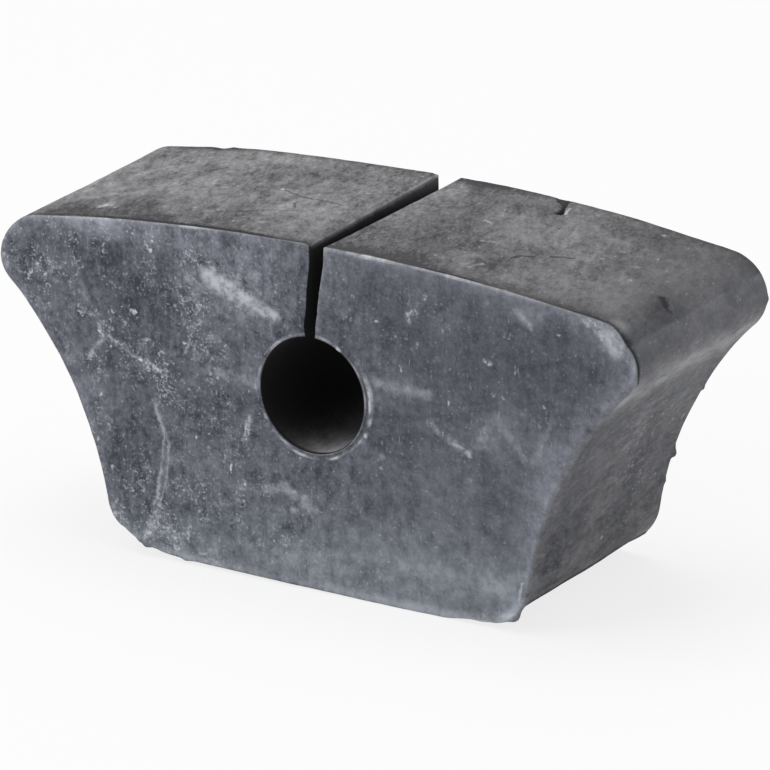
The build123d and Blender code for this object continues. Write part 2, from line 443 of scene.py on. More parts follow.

# The crown is darker along its front edge, a painted shadow behind the lip, and so is the right
# nose along its front edge; the crown is barer along its back edge
bloom_and_painted_light += on_crown * (sum_patches(crown_patches, x, y) - 0.35 * np.exp(-(y - front) / 2.0)
                     - 0.25 * np.exp(-(back - y) / 1.6))
on_right_nose = is_wall * (x > 0) * hill(z, 17.0, 4.5)
bloom_and_painted_light += on_right_nose * (0.08 * hill(y, 6.0, 12.0) - 0.3 * np.exp(-(y - front) / 1.6))

# The flanks are palest where the nose ends and at the base corner
under_nose = is_wall & (z < crown_from) & (z > -30.0)
flank_patches = [
    (-15.0, -18.0, 4.0, 9.0, -0.1), (0.0, -8.0, 4.0, 12.0, 0.13), (8.0, -14.0, 3.0, 9.0, -0.08),
    (13.0, 0.0, 5.0, 5.0, 0.1), (-4.0, -26.0, 9.0, 5.0, 0.1), (14.0, -20.0, 3.0, 8.0, 0.06),
]
bloom_and_painted_light += under_nose * (0.03 + sum_patches(flank_patches, y, z))
bloom_and_painted_light -= 0.14 * under_nose * hill(z, 1.0, 9.0) * np.exp(-(y - front) / 7.0)
bloom_and_painted_light += under_nose * (0.55 * hill(z, 9.5, 3.6) + 0.35 * hill(z, -30.5, 2.2)
                       + 0.12 * hill(z, -27.0, 8.0) + 0.15 * np.exp(-(y - front) / 1.5))

# The floor of the bore's mouth is paler, painted light where light falls in at the mouth, and a
# little talc lies beside the slit on the front face
in_bore_mouth = (facing[:, 1:2] < -0.9) * np.exp(-(y - front) / 15.0)
bloom_and_painted_light += in_bore_mouth * hill(around, -60.0, 44.0)
bloom_and_painted_light += 0.28 * is_front * (z > bore_radius) * np.exp(-(travel - starts) / 0.8)


def slit_wall_painted_light(at_y, at_z):
    """Painted light on the slit's walls: paler towards the crown and towards the back, where light
    comes in.
    """
    return (0.14 + 0.26 * (at_y - front) / length) * np.clip((at_z - 23.4) / 2.2, 0, 1)


# The slit's outermost columns take the same painted light
for column, edge_bloom in ((0, 0.0), (-1, 0.0), (-2, 0.12), (-3, 0.3)):
    at_wall = slit_wall_painted_light(points[:, column, 1], z[:, column])
    bloom_and_painted_light[:, column] = at_wall + edge_bloom * on_crown[:, column]

# Rubbed edges and a painted highlight along them: mostly the crown edge of the front face, beside
# the slit and in a few stretches, and the lower edge
rub_and_highlight_share = np.clip(0.75 + 0.9 * ripple(points, 1.6, 61), 0, 1.2)
wear_and_highlight = hill(off_edge, 0.0, 0.12 + 0.2 * hill(place_on_edge, 9.0, 4.5)) * np.clip(
    above * (0.1 + 1.3 * hill(place_on_edge, 9.5, 5.0) + 0.5 * hill(place_on_edge, 25.0, 7.0)
             + 0.2 * hill(place_on_edge, 37.0, 7.0)
             + 0.6 * hill(place_on_edge, -24.0, 5.0) + 0.3 * hill(place_on_edge, -45.0, 8.0))
    + 0.5 * (edge_line[:, 1] < -30) * hill(place_on_edge, 34.0, 6.0), 0, 1.2) * rub_and_highlight_share
wear_and_highlight += 0.42 * is_front * low_band * np.clip(0.9 + 0.6 * ripple(points, 1.6, 61), 0, 1.2)

# White on the flash, painted highlights along its ridges with some rubbed spots and crumbs:
# (degrees round from +X, radius, half width in degrees, half width in mm, how strong)
flash_spots = [
    (13.0, 11.5, 12.0, 0.3, 1.1), (0.0, 11.25, 6.0, 0.22, 0.7), (-14.0, 11.45, 4.0, 0.28, 0.8),
    (-27.0, 11.5, 2.0, 0.3, 0.7), (-35.0, 11.2, 4.0, 0.18, 0.6), (-46.0, 11.15, 5.0, 0.14, 0.5),
    (-65.0, 11.1, 6.5, 0.18, 1.1), (-103.0, 10.9, 6.5, 0.22, 1.0), (-90.0, 11.0, 5.0, 0.14, 0.4),
    (-72.0, 10.12, 10.0, 0.12, 0.55), (-92.0, 10.15, 12.0, 0.12, 0.45),
    (-40.0, 10.2, 20.0, 0.12, 0.35), (6.0, 10.3, 12.0, 0.16, 0.4),
    (133.0, 10.45, 11.0, 0.2, 0.85), (168.0, 10.6, 8.0, 0.2, 0.3), (75.0, 10.45, 9.0, 0.3, 0.4),
    (60.0, 10.3, 2.2, 0.35, 1.1), (35.0, 10.35, 12.0, 0.2, 0.3), (-150.0, 10.6, 4.0, 0.2, 0.5),
    (-125.0, 10.6, 8.0, 0.2, 0.35), (-118.0, 10.5, 3.0, 0.3, 0.4), (104.0, 10.5, 10.0, 0.2, 0.25),
]
from_axis = np.hypot(x, z)
flash_white = sum(strong * hill(around, at_turn, half_turn) * hill(from_axis, at_radius, half_width)
                  for at_turn, at_radius, half_turn, half_width, strong in flash_spots)
flash_white = 2.0 * flash_white * (0.75 + 0.6 * ripple(points, 0.8, 34))
wear_and_highlight[flash_row:] = np.clip(flash_white, 0, 1.4)[flash_row:]
# The furrow between the flash's beads, on the right, is darkened as painted shade
groove_shade_and_bare_spots[flash_row:] = (0.3 * hill(from_axis, 10.62, 0.16) * hill(around, 0.0, 50.0))[flash_row:]

# Grains of talc: most on the left of the front face, few on the crown, a band on the flank
dust = 0.16 + 0.55 / (1 + np.exp((x + 12.0) / 7.0)) + 0.2 * hill(z, -26.0, 8.0) * (x < 20) \
    + 0.35 * hill(x, -10.0, 7.0) * hill(z, -23.0, 7.0)
dust_on_flank = 0.8 + 3.0 * hill(y + 0.35 * (z + 12.0), 6.0, 5.0) * hill(z, -12.0, 13.0)
dust = np.where(is_wall & (z < crown_from), 0.22 * dust_on_flank, dust * np.where(on_crown, 0.15, 1.0))

# How uneven the bloom is: more so on the left of the front face and on the crown
on_left_half = 1 / (1 + np.exp((x - 8.0) / 5.0))
front_share = np.clip(-facing[:, 2:], 0, 1)
uneven = front_share * (
    1.0 + 0.55 * on_left_half + 0.8 * hill(x, -14.0, 11.0) * hill(z, 18.0, 8.0)
    - 0.15 * hill(x, 12.0, 14.0) * hill(z, -30.0, 8.0)) + (1 - front_share) * (
    1.8 + 0.4 * on_left_half - 1.0 * hill(x, 57.0, 14.0) * hill(z, 20.0, 10.0)
    - 0.3 / (1 + np.exp((z - 12.0) / 2.0)) - 0.3 * hill(z, 16.0, 4.0))

marks = {"bloom_and_painted_light": bloom_and_painted_light, "wear_and_highlight": wear_and_highlight, "dust": dust, "groove_shade_and_bare_spots": groove_shade_and_bare_spots, "crack": crack,
         "uneven": uneven}
marks = {name: np.broadcast_to(value, y.shape).ravel() for name, value in marks.items()}

# The mesh: a closed band of four-sided faces, with both walls of the slit filled in over a grid
index = np.arange(len(rows) * columns).reshape(len(rows), columns)
below = np.roll(index, -1, axis=0)
faces = np.stack([index[:, :-1], below[:, :-1], below[:, 1:], index[:, 1:]], -1).reshape(-1, 4)
vertices = points.reshape(-1, 3)
faces = faces.tolist()
wall_grid = 1.2
for column, wall_seed in ((0, 51), (columns - 1, 52)):
    loop = index[:, column]
    ring = vertices[loop]
    grid_y, grid_z = np.meshgrid(np.arange(-20.4, 20.5, wall_grid),
                                 np.arange(10.9, 25.4, wall_grid))
    inner = np.stack([grid_y.ravel(), grid_z.ravel()], -1)
    flat = [Vector(p) for p in np.vstack([ring[:, 1:], inner])]
    _, _, triangles, origin, _, _ = delaunay_2d_cdt(
        flat, [], [list(range(len(loop)))], 1, 1e-6)
    share_y = (inner[:, 0] + length / 2) / length
    rise = (inner[:, 1] - bore_radius) / (crown_height - bore_radius)
    wall_x = slit_x_at_bore + rise * (slit_x_at_crown - slit_x_at_bore)
    if column:
        at_bore = front_gap["bore"] + share_y * (back_gap["bore"] - front_gap["bore"])
        at_crown = front_gap["crown"] + share_y * (back_gap["crown"] - front_gap["crown"])
        wall_x = wall_x - at_bore - rise * (at_crown - at_bore)
    wall_x = wall_x + slit_drift(inner[:, 0], inner[:, 1], column > 0)
    inner_3d = np.stack([wall_x, inner[:, 0], inner[:, 1]], -1)
    inner_3d[:, 0] += 0.08 * ripple(inner_3d, 3.0, wall_seed)
    marks["bloom_and_painted_light"] = np.append(marks["bloom_and_painted_light"], slit_wall_painted_light(inner[:, 0], inner[:, 1]))
    first_inner = len(vertices)
    vertices = np.vstack([vertices, inner_3d])
    names = [int(loop[o[0]]) if o[0] < len(loop) else first_inner + o[0] - len(loop)
             for o in origin]
    faces += [[names[corner] for corner in triangle] for triangle in triangles]

bushing_mesh = bpy.data.meshes.new("moulded_bushing")
bushing_mesh.from_pydata((vertices * MM).tolist(), [], faces)
for name, values in marks.items():
    layer = bushing_mesh.attributes.new(name, "FLOAT", "POINT")
    layer.data.foreach_set("value", np.append(values, np.zeros(len(vertices) - len(values))))
shape = bmesh.new()
shape.from_mesh(bushing_mesh)
bmesh.ops.delete(shape, geom=[v for v in shape.verts if not v.link_faces], context="VERTS")
bmesh.ops.recalc_face_normals(shape, faces=shape.faces)
shape.to_mesh(bushing_mesh)
shape.free()
bushing_mesh.shade_smooth()
bushing_mesh.set_sharp_from_angle(angle=np.radians(50.0))
bushing = bpy.data.objects.new("moulded_bushing", bushing_mesh)
bpy.context.scene.collection.objects.link(bushing)


def linear(code):
    """Linear colour of an sRGB hex code."""
    parts = [int(code[i:i + 2], 16) / 255 for i in (1, 3, 5)]
    return [p / 12.92 if p <= 0.04045 else ((p + 0.055) / 1.055) ** 2.4 for p in parts] + [1.0]


def add(tree, kind, inputs=(), **settings):
    """Adds a node with its settings. An input is a value, a socket to link, or a node, of which
    the first output in use is linked."""
    node = tree.nodes.new(kind)
    for name, value in settings.items():
        setattr(node, name, value)
    for name, value in dict(inputs).items():
        if isinstance(value, bpy.types.Node):
            value = next(output for output in value.outputs if output.enabled)
        if isinstance(value, bpy.types.NodeSocket):
            tree.links.new(value, node.inputs[name])
        else:
            node.inputs[name].default_value = value
    return node


# Natural rubber filled with carbon black, moulded and dusted with talc so that it doesn't stick.
# The eye gets a matt blue-black with a pale, cloudy bloom, white grains and rubbed scuffs, and
# painted highlights, light and shade are mixed into the colour as well.
rubber = bpy.data.materials.new("black_rubber_with_talc_bloom_and_painted_light")
rubber.use_nodes = True
tree = rubber.node_tree
tree.nodes.clear()

front_colour = linear("#252A36")
crown_colour = linear("#2C2C31")
crown_warm_colour = linear("#332F30")
flank_colour = linear("#262933")
bloom_and_light_colour = linear("#A3A3A6")
front_bloom_and_light_colour = linear("#9A9CA8")
low_front_bloom_and_light_colour = linear("#989DA6")
scuff_and_highlight_colour = linear("#B9BBC2")
talc_colour = linear("#D2D4D9")
crack_and_shade_colour = linear("#131316")
shaded_bare_rubber_colour = linear("#020305")

MATH, VECTOR, MIX, RANGE = ("ShaderNodeMath", "ShaderNodeVectorMath", "ShaderNodeMix",
                            "ShaderNodeMapRange")
coordinates = add(tree, "ShaderNodeTexCoord")
place = add(tree, VECTOR, {0: coordinates.outputs["Object"], "Scale": 1 / MM}, operation="SCALE")
place_x, _, place_z = add(tree, "ShaderNodeSeparateXYZ", {0: place}).outputs
facing_x, facing_y, facing_z = add(tree, "ShaderNodeSeparateXYZ",
                                   {0: coordinates.outputs["Normal"]}).outputs

# Which face a spot belongs to
on_front = add(tree, RANGE, {"Value": facing_y, "From Min": -0.55, "From Max": -0.9})
on_top = add(tree, RANGE, {"Value": facing_z, "From Min": 0.55, "From Max": 0.9})
on_side = add(tree, MATH, {0: facing_x}, operation="ABSOLUTE")
on_side = add(tree, RANGE, {"Value": on_side, "From Min": 0.35, "From Max": 0.8})

# What the mesh says about each spot
spots = {name: add(tree, "ShaderNodeAttribute", attribute_name=name).outputs["Fac"]
         for name in marks}

# Clouds 9 mm and 2.5 mm across, lumps of 1.2 mm and grain of 0.5 mm. They are drawn out to twice
# their width a little askew of the bar, the way the block is pulled from its mould.
askew = add(tree, "ShaderNodeVectorRotate", {"Vector": place, "Angle": -0.35},
            rotation_type="Z_AXIS")
drawn_out = add(tree, VECTOR, {0: askew, 1: (1.0, 0.5, 1.0)}, operation="MULTIPLY")
cloud, mottle, lump, grain = [
    add(tree, "ShaderNodeTexNoise", {"Vector": drawn_out, "Scale": 1 / size, "Detail": detail,
                                     "Roughness": roughness})
    for size, detail, roughness in ((9.0, 4.0, 0.6), (2.5, 4.0, 0.65), (1.2, 2.0, 0.6),
                                    (0.5, 2.0, 0.6))
]

# Streaks down the front face, 1.4 mm wide and 9 mm long, where the block slid from its mould
streak_place = add(tree, VECTOR, {0: place, 1: (1 / 1.4, 1 / 1.4, 1 / 9.0)},
                   operation="MULTIPLY")
streak = add(tree, "ShaderNodeTexNoise", {"Vector": streak_place, "Scale": 1.0, "Detail": 2.0,
                                          "Roughness": 0.55})

# Bare rubber: blue-black on the front and the flanks, and a little browner on the crown
tone = add(tree, MIX, {0: on_side, 6: front_colour, 7: flank_colour}, data_type="RGBA")
warm = add(tree, RANGE, {"Value": cloud, "From Min": 0.4, "From Max": 0.6})
crown_tone = add(tree, MIX, {0: warm, 6: crown_colour, 7: crown_warm_colour}, data_type="RGBA")
tone = add(tree, MIX, {0: on_top, 6: tone, 7: crown_tone}, data_type="RGBA")

# Talc bloom: thicker and thinner at each of these scales, more so on the crown, streaked on the
# front face, and thicker in the soft patches of the mesh, which also hold painted light and shade
crown_bloom, front_bloom, grain_bloom = 0.255, 0.17, 0.32
bloom_waves = add(tree, MATH, {0: grain, 1: grain_bloom, 2: -grain_bloom / 2},
                  operation="MULTIPLY_ADD")
for pattern, lowest, highest, thinner, thicker in (
        (cloud, 0.35, 0.65, -0.05, 0.06), (mottle, 0.3, 0.7, -0.08, 0.09),
        (lump, 0.3, 0.7, -0.06, 0.06)):
    wave = add(tree, RANGE, {"Value": pattern, "From Min": lowest, "From Max": highest,
                             "To Min": thinner, "To Max": thicker})
    bloom_waves = add(tree, MATH, {0: bloom_waves, 1: wave}, operation="ADD")
streaked = add(tree, RANGE, {"Value": streak, "From Min": 0.35, "From Max": 0.7,
                             "To Min": -0.03, "To Max": 0.06})
bloom_waves = add(tree, MATH, {0: streaked, 1: on_front, 2: bloom_waves},
                  operation="MULTIPLY_ADD")
bloom_waves = add(tree, MATH, {0: bloom_waves, 1: spots["uneven"]}, operation="MULTIPLY")
broken = add(tree, RANGE, {"Value": mottle, "From Min": 0.3, "From Max": 0.7, "To Min": 0.5,
                           "To Max": 1.35})
bloom_light_and_shade = add(tree, MATH, {0: spots["bloom_and_painted_light"], 1: broken, 2: bloom_waves},
                operation="MULTIPLY_ADD")
base_bloom = add(tree, MATH, {0: on_front, 1: front_bloom - crown_bloom, 2: crown_bloom},
                 operation="MULTIPLY_ADD")
bloom_light_and_shade = add(tree, MATH, {0: bloom_light_and_shade, 1: base_bloom}, operation="ADD", use_clamp=True)
low_down = add(tree, RANGE, {"Value": place_z, "From Min": -8.0, "From Max": -26.0})
front_powder_and_light = add(tree, MIX, {0: low_down, 6: front_bloom_and_light_colour, 7: low_front_bloom_and_light_colour},
                   data_type="RGBA")
powder_and_light = add(tree, MIX, {0: on_front, 6: bloom_and_light_colour, 7: front_powder_and_light}, data_type="RGBA")
tone = add(tree, MIX, {0: bloom_light_and_shade, 6: tone, 7: powder_and_light}, data_type="RGBA")

# Strokes drawn by a hand, a tool or the floor: how wide, how strong, and their line. On the front
# face it runs by x and z, and on the crown by x and y. Speckles are where talc grains crowd.
front_smudges = [
    (5.2, 1.25, [(-20.0, 17.2), (-13.5, 14.8)]), (3.8, 1.05, [(-13.5, 14.6), (-7.6, 12.5)]),
    (1.8, 0.55, [(51.5, 22.2), (54.5, 20.9)]), (4.6, 0.95, [(55.6, 20.7), (57.9, 18.3)]),
    (2.6, 0.5, [(-21.5, 18.6), (-17.0, 17.0)]), (3.0, 0.4, [(-20.0, 1.0), (-11.0, 0.3)]),
    (2.8, 0.5, [(-9.4, -18.2), (-5.7, -17.0), (0.2, -19.9)]),
    (2.6, 0.25, [(-31.1, -7.0), (-29.0, -13.0), (-29.9, -20.0), (-33.5, -31.6)]),
    (2.0, 0.45, [(39.3, 21.7), (41.8, 19.2)]), (2.8, 0.28, [(12.5, 4.4), (23.0, 4.0)]),
    (1.5, 0.5, [(-12.5, -6.2), (-13.2, -10.3)]), (1.8, 0.22, [(46.0, 4.0), (42.5, -4.0)]),
    (1.8, 0.24, [(-45.5, 12.0), (-41.0, 3.0)]),
    (2.8, 0.26, [(31.8, -3.2), (34.0, 1.0), (35.4, 2.2)]),
    (2.4, 0.26, [(35.6, 1.6), (38.0, -0.5)]), (2.0, 0.3, [(39.3, -2.0), (40.4, -3.6)]),
    (2.2, 0.34, [(22.7, -0.8), (26.0, -2.9), (30.2, -4.9)]),
    (1.6, 0.4, [(-44.4, -0.8), (-40.7, 3.8), (-34.8, 0.5)]),
]
front_speckles = [
    (3.4, 0.9, [(-44.4, -0.8), (-40.7, 3.8), (-34.8, 0.5), (-29.8, 0.9)]),
    (4.0, 0.8, [(-24.0, 20.5), (-18.0, 18.8), (-12.0, 16.8)]),
    (6.0, 0.8, [(-54.5, 15.5), (-47.0, 14.5)]), (4.0, 0.6, [(-51.0, 22.0), (-47.0, 18.5)]),
    (6.0, 0.9, [(-34.0, 3.0), (-29.0, -4.0)]), (7.0, 0.8, [(-44.0, 7.0), (-38.0, 6.0)]),
    (5.0, 0.8, [(-15.0, -25.0), (-10.7, -28.0)]), (6.0, 0.8, [(-33.0, -27.0), (-28.0, -31.0)]),
    (3.0, 0.8, [(23.0, -1.0), (30.0, -5.0)]), (4.0, 0.6, [(-50.0, 14.0), (-45.0, 10.0)]),
    (3.0, 0.9, [(33.0, -32.0), (38.0, -31.5)]), (8.0, 0.6, [(-24.0, 12.0), (-20.0, -2.0)]),
    (6.0, 0.7, [(18.0, 20.5), (26.0, 18.0)]), (4.0, 0.6, [(6.0, 15.0), (18.0, 12.5)]),
    (3.6, 1.2, [(52.4, 21.6), (55.0, 20.2), (57.0, 18.4)]),
    (2.2, 1.6, [(-12.5, -6.2), (-13.2, -10.3)]), (2.0, 1.3, [(28.6, -3.9), (30.4, -4.9)]),
]
front_scratches = [
    (0.7, 0.5, [(-44.4, -0.8), (-40.7, 3.8), (-34.8, 0.5)]),
    (0.9, 0.65, [(-31.1, -7.0), (-29.4, -12.0), (-30.2, -18.7), (-31.9, -26.2), (-34.0, -31.6)]),
    (0.8, 0.5, [(-30.2, -9.0), (-28.5, -13.0), (-29.2, -19.0), (-30.9, -26.0)]),
    (0.7, 0.5, [(-24.0, 5.5), (-24.8, 3.0)]), (0.6, 0.5, [(-25.0, -28.5), (-25.0, -30.5)]),
    (1.2, 1.0, [(29.5, -4.5), (30.3, -4.9)]), (1.0, 0.6, [(27.0, -3.6), (28.6, -4.0)]),
    (1.1, 0.9, [(36.3, -32.1), (38.8, -31.0)]), (0.8, 0.6, [(39.5, -28.6), (40.3, -25.5)]),
    (1.8, 0.45, [(-31.6, -27.5), (-34.0, -32.0)]),
]
crown_scuffs = [
    (1.1, 0.45, [(17.4, 4.6), (19.2, 4.1)]), (0.8, 0.5, [(10.4, 4.2), (11.0, 4.3)]),
    (0.9, 0.4, [(22.3, -4.2), (24.5, -3.4)]), (1.2, 0.35, [(26.8, -16.0), (27.8, -13.3)]),
    (0.8, 0.5, [(-6.8, 6.4), (-6.2, 6.6)]), (0.9, 0.8, [(-20.8, 2.6), (-20.2, 2.3)]),
    (1.2, 0.8, [(-45.6, -15.4), (-45.2, -13.8)]), (1.0, 0.6, [(-44.2, -14.4), (-44.0, -14.2)]),
    (0.8, 0.5, [(-42.8, -15.0), (-42.6, -14.8)]),
    (0.7, 0.8, [(25.9, 18.2), (26.5, 16.4), (26.7, 15.0)]),
    (0.7, 0.45, [(41.0, 2.1), (41.3, 2.2)]), (0.8, 0.45, [(49.4, -2.8), (49.8, -2.7)]),
    (1.5, 0.3, [(-49.5, 7.0), (-47.5, 9.5)]),
]
crown_cuts = [
    (0.5, 0.75, [(-20.2, 2.3), (-15.7, 0.3), (-7.3, -0.6)]),
    (0.6, 0.7, [(-14.8, -3.0), (-13.2, -5.5)]),
    (0.8, 0.9, [(30.2, -7.9), (30.9, -6.3), (32.6, -5.0)]),
    (0.9, 0.9, [(34.8, -3.0), (37.8, -1.1)]), (0.5, 0.6, [(26.6, 9.5), (29.6, 8.7)]),
    (2.2, 1.5, [(57.0, -5.0), (58.8, -6.2)]), (1.0, 0.6, [(-39.5, 7.6), (-36.9, 10.7)]),
    (0.9, 0.6, [(-46.2, 12.2), (-45.1, 12.4)]),
    (1.0, 0.5, [(-40.7, -13.6), (-40.2, -10.4), (-39.9, -7.2)]),
    (0.6, 0.5, [(24.5, 5.8), (26.9, 7.1)]), (1.1, 0.7, [(-47.0, 21.2), (-41.8, 20.8)]),
    (0.9, 0.8, [(37.0, 20.8), (38.8, 21.3)]),
    (0.7, 0.3, [(-21.4, -11.1), (-15.5, -8.0), (-11.4, -6.7)]),
    (1.2, 0.3, [(28.5, -15.1), (29.6, -10.6)]),
]

# A hand doesn't rub in straight lines, so the places are shaken by up to half a millimetre
wobble = add(tree, "ShaderNodeTexNoise", {"Vector": place, "Scale": 1 / 1.4})
wobble = add(tree, VECTOR, {0: wobble.outputs["Color"], 1: (0.5, 0.5, 0.5)}, operation="SUBTRACT")
shaken = add(tree, VECTOR, {0: wobble, "Scale": 1.3}, operation="SCALE")
shaken = add(tree, VECTOR, {0: place, 1: shaken}, operation="ADD")
flat_places = {
    "front": add(tree, VECTOR, {0: shaken, 1: (1.0, 0.0, 1.0)}, operation="MULTIPLY"),
    "crown": add(tree, VECTOR, {0: shaken, 1: (1.0, 1.0, 0.0)}, operation="MULTIPLY"),
}
front_crumbs = [
    (1.1, 0.9, [(-55.7, 12.6), (-55.9, 11.2)]), (0.9, 0.7, [(-54.4, 13.7), (-54.0, 14.0)]),
    (0.8, 0.7, [(-52.8, 12.2), (-52.4, 12.4)]), (1.0, 0.9, [(-41.0, 18.9), (-40.9, 18.2)]),
    (1.0, 0.9, [(-32.3, 21.0), (-31.5, 20.0)]), (1.1, 1.0, [(-35.5, 8.8), (-34.9, 8.6)]),
    (0.7, 0.8, [(-37.4, 9.6), (-37.5, 9.1)]), (0.6, 0.8, [(-39.2, 8.2), (-39.0, 7.8)]),
    (0.8, 0.8, [(-26.9, 11.0), (-26.6, 11.1)]), (0.9, 0.9, [(-42.3, 4.1), (-41.4, 3.4)]),
    (1.0, 0.8, [(-30.4, 2.0), (-29.7, 2.4)]), (1.2, 0.9, [(-34.0, 0.4), (-31.4, -0.1)]),
    (1.0, 0.9, [(-31.4, -0.1), (-29.8, -1.0)]), (0.7, 0.8, [(-28.8, -1.2), (-28.5, -1.0)]),
    (0.8, 0.8, [(-25.2, 4.8), (-24.8, 4.9)]), (0.7, 0.7, [(-31.2, 6.3), (-31.0, 6.1)]),
    (0.7, 0.8, [(-42.1, -7.2), (-41.9, -6.8)]), (0.7, 0.7, [(-42.8, -15.5), (-42.6, -15.1)]),
    (0.7, 0.7, [(-40.2, -19.9), (-40.0, -19.7)]), (0.8, 0.7, [(-23.1, -12.1), (-23.1, -11.2)]),
    (0.6, 0.7, [(-20.6, -10.5), (-20.4, -10.3)]), (0.7, 0.9, [(-16.2, -16.4), (-16.0, -14.7)]),
    (0.6, 0.7, [(-39.8, -26.1), (-39.6, -25.9)]), (1.3, 0.9, [(-33.9, -31.2), (-32.8, -30.4)]),
    (0.9, 0.8, [(-25.3, -29.9), (-25.3, -28.5)]), (1.0, 0.7, [(-22.6, -32.2), (-21.6, -32.0)]),
    (1.1, 0.8, [(-27.8, -32.1), (-26.8, -31.9)]), (0.9, 0.8, [(-13.0, -8.6), (-13.1, -7.6)]),
    (0.7, 0.7, [(11.6, 15.0), (11.7, 15.0)]), (0.7, 0.7, [(12.6, 15.1), (12.7, 15.1)]),
    (0.7, 0.5, [(8.1, 18.7), (8.1, 18.5)]), (0.6, 0.5, [(7.3, 14.5), (7.4, 14.4)]),
    (1.4, 0.5, [(18.6, 17.4), (20.0, 17.8)]), (1.2, 0.5, [(18.8, 16.2), (18.6, 16.8)]),
    (1.3, 0.5, [(21.5, 20.4), (21.9, 20.9)]), (0.7, 0.4, [(27.3, 21.6), (27.4, 21.4)]),
    (1.2, 0.35, [(20.3, 12.5), (20.5, 12.0)]), (0.8, 0.4, [(25.3, 15.6), (25.4, 15.4)]),
    (1.2, 0.7, [(33.2, 11.9), (34.2, 11.5)]), (0.8, 0.4, [(47.3, 18.7), (47.4, 18.6)]),
    (0.5, 0.35, [(36.8, 16.5), (38.4, 16.5)]), (0.6, 0.35, [(39.1, 12.2), (39.1, 10.6)]),
    (0.8, 0.6, [(44.2, 6.0), (44.3, 5.9)]), (1.3, 0.35, [(34.6, 6.6), (34.9, 6.1)]),
    (0.8, 0.4, [(36.6, 6.4), (36.7, 6.2)]), (0.7, 0.5, [(26.8, 9.2), (26.8, 9.1)]),
    (0.7, 0.5, [(26.4, 3.4), (26.5, 3.3)]), (0.7, 0.6, [(17.0, 8.0), (17.0, 7.0)]),
]

# Each stroke is a soft mask round its line, and a group keeps the strongest of its masks
strokes = {}
stroke_groups = {
    "crumbs": ("front", front_crumbs),
    "smudges": ("front", front_smudges),
    "speckles": ("front", front_speckles),
    "scratches": ("front", front_scratches),
    "scuffs": ("crown", crown_scuffs),
    "cuts": ("crown", crown_cuts),
}
for name, (face, group) in stroke_groups.items():
    total = None
    for wide, strong, line in group:
        for start, end in zip(line, line[1:]):
            ends_at = [np.array([p[0], 0.0, p[1]] if face == "front" else [p[0], p[1], 0.0])
                       for p in (start, end)]
            run_of = np.linalg.norm(ends_at[1] - ends_at[0])
            aim = (ends_at[1] - ends_at[0]) / run_of
            from_start = add(tree, VECTOR, {0: flat_places[face], 1: ends_at[0]},
                             operation="SUBTRACT")
            run_along = add(tree, VECTOR, {0: from_start, 1: aim}, operation="DOT_PRODUCT")
            held = add(tree, "ShaderNodeClamp", {"Value": run_along, "Min": 0.0, "Max": run_of})
            foot = add(tree, VECTOR, {0: aim, "Scale": held}, operation="SCALE")
            off_line = add(tree, VECTOR, {0: from_start, 1: foot}, operation="DISTANCE")
            mask = add(tree, RANGE, {"Value": off_line, "From Min": wide / 2, "From Max": wide / 12,
                                     "To Max": strong}, interpolation_type="SMOOTHSTEP")
            total = mask if total is None else add(tree, MATH, {0: total, 1: mask},
                                                   operation="MAXIMUM")
    on_face = on_front if face == "front" else on_top
    strokes[name] = add(tree, MATH, {0: total, 1: on_face}, operation="MULTIPLY")

# Scuffs lie on the high spots only, so the grain breaks them up
rub = add(tree, RANGE, {"Value": lump, "From Min": 0.36, "From Max": 0.6, "To Min": 0.4})
rub_soft = add(tree, RANGE, {"Value": mottle, "From Min": 0.32, "From Max": 0.58, "To Min": 0.5})
scuff_and_highlight = add(tree, MATH, {0: strokes["smudges"], 1: rub_soft}, operation="MULTIPLY")
for stroke in (strokes["scratches"], strokes["scuffs"]):
    scuff_and_highlight = add(tree, MATH, {0: scuff_and_highlight, 1: stroke}, operation="MAXIMUM")
scuff_and_highlight = add(tree, MATH, {0: scuff_and_highlight, 1: rub}, operation="MULTIPLY")
# The rubbed edges, with the painted highlights along them and on the flash, join the scuffs
broken_wear_and_highlight = add(tree, RANGE, {"Value": grain, "From Min": 0.35, "From Max": 0.55, "To Min": 0.6})
broken_wear_and_highlight = add(tree, MATH, {0: spots["wear_and_highlight"], 1: broken_wear_and_highlight}, operation="MULTIPLY", use_clamp=True)
scuff_and_highlight = add(tree, MATH, {0: scuff_and_highlight, 1: broken_wear_and_highlight}, operation="MAXIMUM")
tone = add(tree, MIX, {0: scuff_and_highlight, 6: tone, 7: scuff_and_highlight_colour}, data_type="RGBA")

# White talc: grains in cells of 1.1 to 8 mm, one to a cell, and ragged flecks. The more dust there
# is at a place, the more of its cells hold a grain.
dust_field = add(tree, "ShaderNodeTexNoise", {"Vector": place, "Scale": 1 / 5.0, "Detail": 3.0})
dust_field = add(tree, RANGE, {"Value": dust_field, "From Min": 0.4, "From Max": 0.6,
                               "To Min": 0.15, "To Max": 1.05})
dust_field = add(tree, MATH, {0: dust_field, 1: spots["dust"]}, operation="MULTIPLY")
dust_field = add(tree, MATH, {0: strokes["speckles"], 1: 0.55, 2: dust_field},
                 operation="MULTIPLY_ADD")
dust_field = add(tree, MATH, {0: dust_field, 1: 1.2}, operation="MINIMUM")
ragged = add(tree, "ShaderNodeTexNoise", {"Vector": place, "Scale": 1 / 0.45})
ragged = add(tree, VECTOR, {0: ragged.outputs["Color"], "Scale": 0.55}, operation="SCALE")
spot_place = add(tree, VECTOR, {0: place, 1: ragged}, operation="ADD")
talc = None
